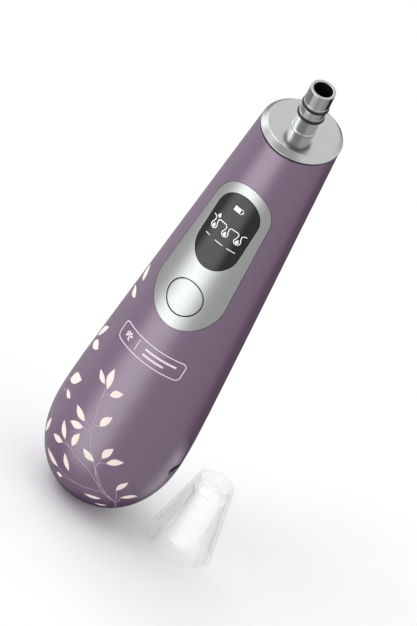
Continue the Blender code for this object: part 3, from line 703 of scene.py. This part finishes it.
def local_frame(z):
    """At a height: the angle that a step sideways turns, and the height that a step along the body climbs."""
    return 1 / max(body_radius(z), 1 * MM), 1 / math.hypot(1, body_slope(z))


def leaf(base, tip, width):
    """A pointed leaf between two (degrees, millimetres) places on the body."""
    rest()
    rows, columns = 14, 4
    bpy.ops.mesh.primitive_grid_add(x_subdivisions=rows, y_subdivisions=columns, size=1)
    piece = bpy.context.object
    angle, z = math.radians(base[0]), base[1] * MM
    turn, climb = local_frame((base[1] + tip[1]) / 2 * MM)
    run = Vector(((math.radians(tip[0]) - angle) / turn, (tip[1] * MM - z) / climb))
    side = Vector((-run.y, run.x)).normalized()
    for vert in piece.data.vertices:
        along, across = vert.co.x + 0.5, vert.co.y * 2
        spread = LEAF_FULLNESS * width * MM / 2 * math.sin(math.pi * along ** 0.92)
        bend = 0.05 * run.length * math.sin(math.pi * along)
        place = run * along + side * (across * spread + bend)
        vert.co = on_body(angle + place.x * turn, z + place.y * climb, LEAF_LIFT)
    edit(piece)
    bpy.ops.mesh.remove_doubles(threshold=SAME_POINT)
    rest()
    return piece


def stem(route):
    """A thin printed line on a smooth curve through (degrees, millimetres) places, narrower to its end."""
    rest()
    points = []
    padded = [route[0], *route, route[-1]]
    steps = 8
    for before, start, end, after in zip(padded, padded[1:], padded[2:], padded[3:]):
        for step in range(steps):
            t = step / steps
            points.append(tuple(0.5 * (2 * s + (e - b) * t + (2 * b - 5 * s + 4 * e - a) * t * t
                                       + (3 * s - b - 3 * e + a) * t ** 3)
                                for b, s, e, a in zip(before, start, end, after)))
    points.append(route[-1])
    bpy.ops.mesh.primitive_grid_add(x_subdivisions=len(points) - 1, y_subdivisions=1, size=1)
    piece = bpy.context.object
    for vert in piece.data.vertices:
        place = round((vert.co.x + 0.5) * (len(points) - 1))
        here = Vector(points[place])
        ahead = Vector(points[min(place + 1, len(points) - 1)]) - Vector(points[max(place - 1, 0)])
        turn, climb = local_frame(here.y * MM)
        run = Vector((math.radians(ahead.x) / turn, ahead.y * MM / climb)).normalized()
        taper = STEM_WIDTH * MM / 2 * (1 - 0.35 * place / len(points))
        offset = Vector((-run.y, run.x)) * taper * (1 if vert.co.y > 0 else -1)
        vert.co = on_body(math.radians(here.x) + offset.x * turn, here.y * MM + offset.y * climb, STEM_LIFT)
    return piece


def layer(name, pieces, thick, ink):
    """Join thin shapes on the body and give them all the same thickness, outside outwards."""
    piece = join(name, pieces)
    edit(piece)
    bpy.ops.mesh.normals_make_consistent(inside=False)
    rest()
    outward = sum(1 if face.normal.dot(Vector((face.center.x, face.center.y, 0))) > 0 else -1
                  for face in piece.data.polygons)
    if outward < 0:
        edit(piece)
        bpy.ops.mesh.flip_normals()
    apply(piece, "SOLIDIFY", thickness=thick, offset=0)
    smooth(piece, 50)
    piece.data.materials.append(ink)
    stand_for(piece, "handset", "body_lacquer")


LEAF_FULLNESS = 0.76             # share of a leaf's listed width that it reaches
STEM_WIDTH = 0.21                # millimetres
# Each leaf: its base and its tip as (degrees from the display side, millimetres up), and its width in mm.
LEAVES = [
    # tall sprig on the front
    ((-17.6, 49.6), (-29.6, 52), 2.8), ((-13, 49), (-17.6, 56.3), 3.5), ((-8, 48), (1.5, 51.5), 3.2),
    ((-1, 37), (4, 42.5), 3.4), ((-14, 34.7), (-29, 36.5), 3.4), ((-12.5, 32.6), (-26, 30.5), 3.2),
    # low sprig right of it
    ((19, 26.8), (31, 30), 3.2), ((14, 27.6), (18, 33), 3.4), ((10, 25), (-3, 26.8), 3.2),
    # sprig on the left of the front
    ((-21, 24), (-32, 28.6), 3.0), ((-22, 22.4), (-36, 21), 3.0), ((-12.5, 24.2), (-12, 30), 3.2),
    ((-5, 15), (-15.5, 20), 2.8), ((-18, 12.6), (-40, 14), 3.4), ((-10.5, 10.6), (-19, 9.4), 2.6),
    # leaves at the foot of the sprigs
    ((34, 11.3), (17, 10), 2.4), ((47, 8), (34, 7), 1.8), ((39, 18), (44, 23), 2.8),
    ((48, 15), (63, 17), 2.8),
    # sprig on the left side
    ((-49, 23.2), (-55, 16), 3.2), ((-58, 37.6), (-41, 42.8), 5.2), ((-40, 35), (-51, 35.3), 2.6),
    ((-68, 54.6), (-55, 62), 3.8), ((-65, 52.4), (-47.5, 54.4), 4.4), ((-48, 77.5), (-66, 78.4), 3.4),
    ((-84, 44), (-98, 49), 3.6), ((-80, 62), (-93, 67), 3.6), ((-84, 30), (-100, 33), 3.4),
    ((-80, 69), (-94, 71), 3.2), ((-55, 83), (-68, 87.5), 4.6), ((-92, 20), (-108, 18), 3.0),
    # sprig round the back
    ((150, 40), (164, 45), 3.6), ((140, 32), (124, 36), 3.6), ((148, 50), (134, 55), 3.6),
    ((152, 58), (166, 62), 3.4), ((151, 64), (148, 71), 3.6), ((136, 22), (120, 22), 3.2),
    ((142, 24), (157, 26), 3.2), ((104, 16), (96, 22), 3.0), ((112, 12), (128, 10), 2.4),
]
# Each stem: the places that it passes, from its thick end.
STEMS = [
    [(60, 7), (47, 12), (30, 16), (16, 22), (3, 28), (-5, 34), (-10, 41), (-15, 49)],
    [(-5, 34), (-9, 34.6), (-14, 34.7)], [(-6, 33), (-10, 32.8), (-13, 32.6)],
    [(-6, 35), (-4, 36.4), (-1, 37)],
    [(-13, 45.5), (-11, 47.4), (-8, 48)], [(-13, 46), (-13.6, 48), (-14, 49)],
    [(26, 16.8), (19, 19.5), (14, 23), (13.5, 24.5), (15.5, 26), (19, 26.8)],
    [(13.5, 24.5), (13.6, 26), (14, 27.6)],
    [(17, 20.4), (12.5, 23.4), (10, 25)],
    [(44, 12.4), (30, 15), (11, 20.6), (-6, 22.3), (-14, 23.4), (-21, 24)],
    [(-14, 23.2), (-18, 22.9), (-22, 22.4)],
    [(-9, 22.7), (-11.6, 23.4), (-12.5, 24.2)],
    [(40, 13), (32, 15), (12, 13), (-10.5, 10.6)], [(6, 12.4), (-6, 12.4), (-18, 12.6)],
    [(48, 12), (44, 15), (39, 18)], [(50, 11), (50, 13), (48, 15)],
    [(-104, 10), (-96, 18), (-88, 28), (-82, 40), (-76, 52), (-74, 64), (-76, 78)],
    [(-86, 32), (-76, 33), (-66, 36), (-57, 38)], [(-70, 35), (-60, 33), (-50, 35)], [(-90, 26), (-84, 30)],
    [(-79, 46), (-72, 49), (-64, 51.5)], [(-76, 52), (-72, 53), (-68, 54.6)], [(-82, 40), (-84, 44)],
    [(-92, 22), (-80, 24), (-64, 25), (-49, 23.2)], [(-74.5, 66), (-70, 73), (-60, 77), (-48, 77.5)],
    [(104, 8), (120, 16), (136, 26), (146, 38), (150, 50), (151, 64)],
]


def leaf_print():
    layer("leaf_print", [leaf(*entry) for entry in LEAVES], 0.04 * MM, CREAM_INK)
    layer("stem_print", [stem(route) for route in STEMS], 0.03 * MM, MAUVE_INK)


# ---- charging socket -----------------------------------------------------------------------------
def charging_socket():
    """An open sleeve with a floor near its inner end and a tongue along its middle."""
    low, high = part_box("charging_port")
    half_tall, middle = (high.z - low.z) / 2, (high.z + low.z) / 2
    length, rim, edge = high.x - low.x, 0.3 * MM, 0.06 * MM
    floor_thick, floor_back = 1.2 * MM, 1.4 * MM
    half_wide, half_blade, tongue_front, tongue_short = 3.1 * MM, 0.35 * MM, 1.0 * MM, 2.0 * MM

    def outline(grow):
        return slot(high.y, half_tall, middle, grow, 16)

    sleeve = plate("socket_sleeve", [outline(-edge), outline(-rim - edge)], length, edge)
    floor = plate("socket_floor", [outline(-rim)], floor_thick, 0)
    floor.data.transform(Matrix.Translation((0, length - floor_back, 0)))
    blade = [(-half_wide, middle - half_blade), (half_wide, middle - half_blade),
             (half_wide, middle + half_blade), (-half_wide, middle + half_blade)]
    tongue = plate("socket_tongue", [blade], length - tongue_short, 0)
    tongue.data.transform(Matrix.Translation((0, tongue_front, 0)))
    for piece, material, finish in ((sleeve, BLACK_ZINC, "zinc_steel"), (floor, BLACK_NYLON, "black_nylon"),
                                    (tongue, BLACK_NYLON, "black_nylon")):
        piece.data.transform(Matrix.Translation((high.x, 0, 0)) @ TO_SIDE)
        smooth(piece)
        piece.data.materials.append(material)
        stand_for(piece, "handset", finish, *(["charging_port"] if piece is sleeve else []))


# ---- loose suction tip ---------------------------------------------------------------------------
def suction_tip():
    """The loose tip: a clear cone, and a frosted tube that hangs inside it from a web near its top."""
    low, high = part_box("suction_tip")
    place = Matrix.Translation(((low.x + high.x) / 2, (low.y + high.y) / 2, 0))
    base_r, tall = (high.x - low.x) / 2, high.z
    top_r, wall, fillet, bead = 6.6 * MM, 1.2 * MM, 0.4 * MM, 0.25 * MM
    slope = (base_r - top_r) / tall
    web_top = tall - 4 * MM
    outline = arc((base_r - bead, bead), bead, -90, 0, 4)
    outline += arc((top_r - wall / 2, tall - wall / 2), wall / 2, 0, 180, 10)
    outline += [(base_r - slope * (web_top + fillet) - wall, web_top + fillet)]
    outline += arc((base_r - slope * web_top - wall - fillet, web_top - fillet), fillet, 70, 20, 3)
    outline += [(base_r - slope * fillet - wall, fillet), (base_r - wall + 0.2 * MM, 0)]
    cone = turned("tip_cone", outline, steps=128, place=place)
    smooth(cone)
    cone.data.materials.append(CLEAR)
    # clear plastic lets the light through to the floor under it
    cone.visible_shadow = False
    stand_for(cone, "loose_tip", "clear_plastic", "suction_tip")

    tube_r, tube_wall, lift, chamfer = 5.4 * MM, 0.7 * MM, 2.5 * MM, 0.15 * MM
    web_r = base_r - slope * web_top - wall - 0.1 * MM
    web_bottom, flare_bottom = web_top - 1.2 * MM, web_top - 1.5 * MM
    outline = [(tube_r - tube_wall, web_top - chamfer), (tube_r - tube_wall, lift + 0.2 * MM)]
    outline += arc((tube_r - tube_wall / 2, lift + tube_wall / 2), tube_wall / 2, 180, 360, 6)
    outline += [(tube_r, flare_bottom), (tube_r + 0.3 * MM, web_bottom), (web_r, web_bottom),
                (web_r, web_top), (tube_r - tube_wall + chamfer, web_top)]
    tube = turned("tip_tube", outline, place=place)
    smooth(tube)
    # the tube's faint emission is painted light that makes it look brighter
    tube.data.materials.append(FROSTED_PAINTED_GLOW)
    tube.visible_shadow = False
    stand_for(tube, "loose_tip", "clear_plastic")


# ---- inside pieces keep their shape and get their finish -----------------------------------------
def inside():
    """Give the frame's own inside pieces their finish."""
    finishes = {
        "main_board": RESIST, "battery_cell": SLEEVE, "battery_cradle": BLACK_NYLON,
        "panel_carrier": BLACK_NYLON, "display_module": WHITE_NYLON, "tact_switch": BLACK_NYLON,
        "switch_plunger": BLACK_NYLON,
        "board_screw_1": ZINC, "board_screw_2": ZINC, "pump_screw_1": ZINC, "pump_screw_2": ZINC,
        "pump_screw_3": ZINC, "motor_can": ZINC, "motor_shaft": ZINC, "motor_end_cap": WHITE_NYLON,
        "motor_isolator": NITRILE, "eccentric": WHITE_NYLON, "pump_head": BLACK_NYLON, "diaphragm": NITRILE,
        "valve_plate": WHITE_NYLON, "suction_hose": SILICONE, "nozzle_filter": FOAM,
    }
    for name, finish in finishes.items():
        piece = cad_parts[name]
        piece.data.materials.clear()
        piece.data.materials.append(finish)


# ---- stage ---------------------------------------------------------------------------------------
def camera():
    """A long lens from well back, looking down on the display side, turned so that the handset leans."""
    bearing, height, roll = math.radians(13.15), math.radians(30), math.radians(31.65)
    away, aim = 2.576, Vector((6.6, -6.1, 85.7)) * MM
    reach = math.cos(height)
    back = Vector((math.sin(bearing) * reach, -math.cos(bearing) * reach, math.sin(height)))
    level = Vector((math.cos(bearing), math.sin(bearing), 0))
    upright = back.cross(level)
    right = level * math.cos(roll) + upright * math.sin(roll)
    up = upright * math.cos(roll) - level * math.sin(roll)
    data = bpy.data.cameras.new("camera")
    data.lens = 460
    data.sensor_width = 36
    data.clip_end = 20
    made = bpy.data.objects.new("camera", data)
    bpy.context.scene.collection.objects.link(made)
    turn = Matrix((right, up, back)).transposed().to_4x4()
    made.matrix_world = Matrix.Translation(aim + back * away) @ turn
    bpy.context.scene.camera = made


def studio():
    """A plain pale floor in a soft white tent, bright above and greyer low down, with broad cards round it.

    The floor is left out of reflections, so what shows in the handset from below is the tent's lower half.
    """
    rest()
    bpy.ops.mesh.primitive_plane_add(size=8, location=(0, 0, 0))
    floor = bpy.context.object
    floor.name = "floor"
    floor.data.materials.append(speckled("pale_backdrop", "F2F2F3", "F4F4F5", 2.0, 0.7, 0.05, 0.0))
    floor.visible_glossy = False

    world = bpy.data.worlds.new("tent")
    bpy.context.scene.world = world
    world.use_nodes = True
    tree = world.node_tree
    sky = node(tree, "ShaderNodeTexCoord", {}, {}).outputs["Generated"]
    level = node(tree, "ShaderNodeVectorMath", {"operation": "MULTIPLY"}, {0: sky, 1: (1, 1, 0)}).outputs[0]
    level = node(tree, "ShaderNodeVectorMath", {"operation": "NORMALIZE"}, {0: level}).outputs[0]
    height = node(tree, "ShaderNodeSeparateXYZ", {}, {"Vector": sky}).outputs["Z"]

    def fade(value, start, end, low, high):
        """A soft step from low to high as a value goes from start to end."""
        ends = {"Value": value, "From Min": start, "From Max": end, "To Min": low, "To Max": high}
        return node(tree, "ShaderNodeMapRange", {"interpolation_type": "SMOOTHSTEP"}, ends).outputs[0]

    def screen(bearing, outer, inner, bright):
        """How much a card at a bearing, in degrees from the display side towards +X, adds or takes."""
        aim = (math.sin(math.radians(bearing)), -math.cos(math.radians(bearing)), 0)
        facing = node(tree, "ShaderNodeVectorMath", {"operation": "DOT_PRODUCT"}, {0: level, 1: aim})
        outer, inner = math.cos(math.radians(outer)), math.cos(math.radians(inner))
        return fade(facing.outputs["Value"], outer, inner, 0, bright)

    def total(first, second, operation="ADD"):
        return node(tree, "ShaderNodeMath", {"operation": operation}, {0: first, 1: second}).outputs[0]

    # a dark card behind, low down
    shade = total(screen(165, 50, 22, -0.5), fade(height, -0.25, -0.1, 1, 0), "MULTIPLY")
    # the tent's lower half, with a grey card at the back left
    below = total(fade(height, -0.9, -0.55, 0.46, 0.62), shade)
    below = total(below, screen(-150, 50, 20, -0.22))
    # a bright card on the display side: the long soft highlight down the body and the panel
    below = total(below, total(screen(-17, 38, 12, 1.9), fade(height, -0.86, -0.66, 0, 1), "MULTIPLY"))
    # grey cards on the left and at the right: the body's darker sides
    below = total(below, total(screen(-78, 45, 20, -0.22), fade(height, -0.62, -0.54, 1, 0), "MULTIPLY"))
    below = total(below, screen(122, 45, 20, -0.18))
    # no direction is darker than this
    below = total(below, 0.02, "MAXIMUM")
    # the upper half, with a bright card on the left and a grey one on the display side
    sky_light = total(total(0.93, screen(-110, 40, 12, 1.0)), screen(4, 45, 15, -0.42))
    # from the lower half to the upper one over a soft edge
    share = fade(height, 0.0, 0.35, 0, 1)
    light = total(total(below, total(1, share, "SUBTRACT"), "MULTIPLY"), total(sky_light, share, "MULTIPLY"))
    tree.links.new(light, tree.nodes["Background"].inputs["Strength"])
    tree.nodes["Background"].inputs["Color"].default_value = (1, 1, 1, 1)

    # a round lamp at the upper left, which gives the floor its soft shadow
    lamp = bpy.data.lights.new("window", "AREA")
    lamp.shape = "DISK"
    lamp.size = 0.8
    lamp.energy = 4.2
    made = bpy.data.objects.new("window", lamp)
    bpy.context.scene.collection.objects.link(made)
    made.location = (-0.7, -0.5, 1.1)
    made.rotation_euler = (-made.location).to_track_quat("-Z", "Y").to_euler()
    bpy.context.scene.view_settings.view_transform = "Standard"


camera()
shells()
foot()
cap()
nozzle()
o_rings()
control_panel()
display_symbols()
label()
leaf_print()
charging_socket()
suction_tip()
inside()
studio()
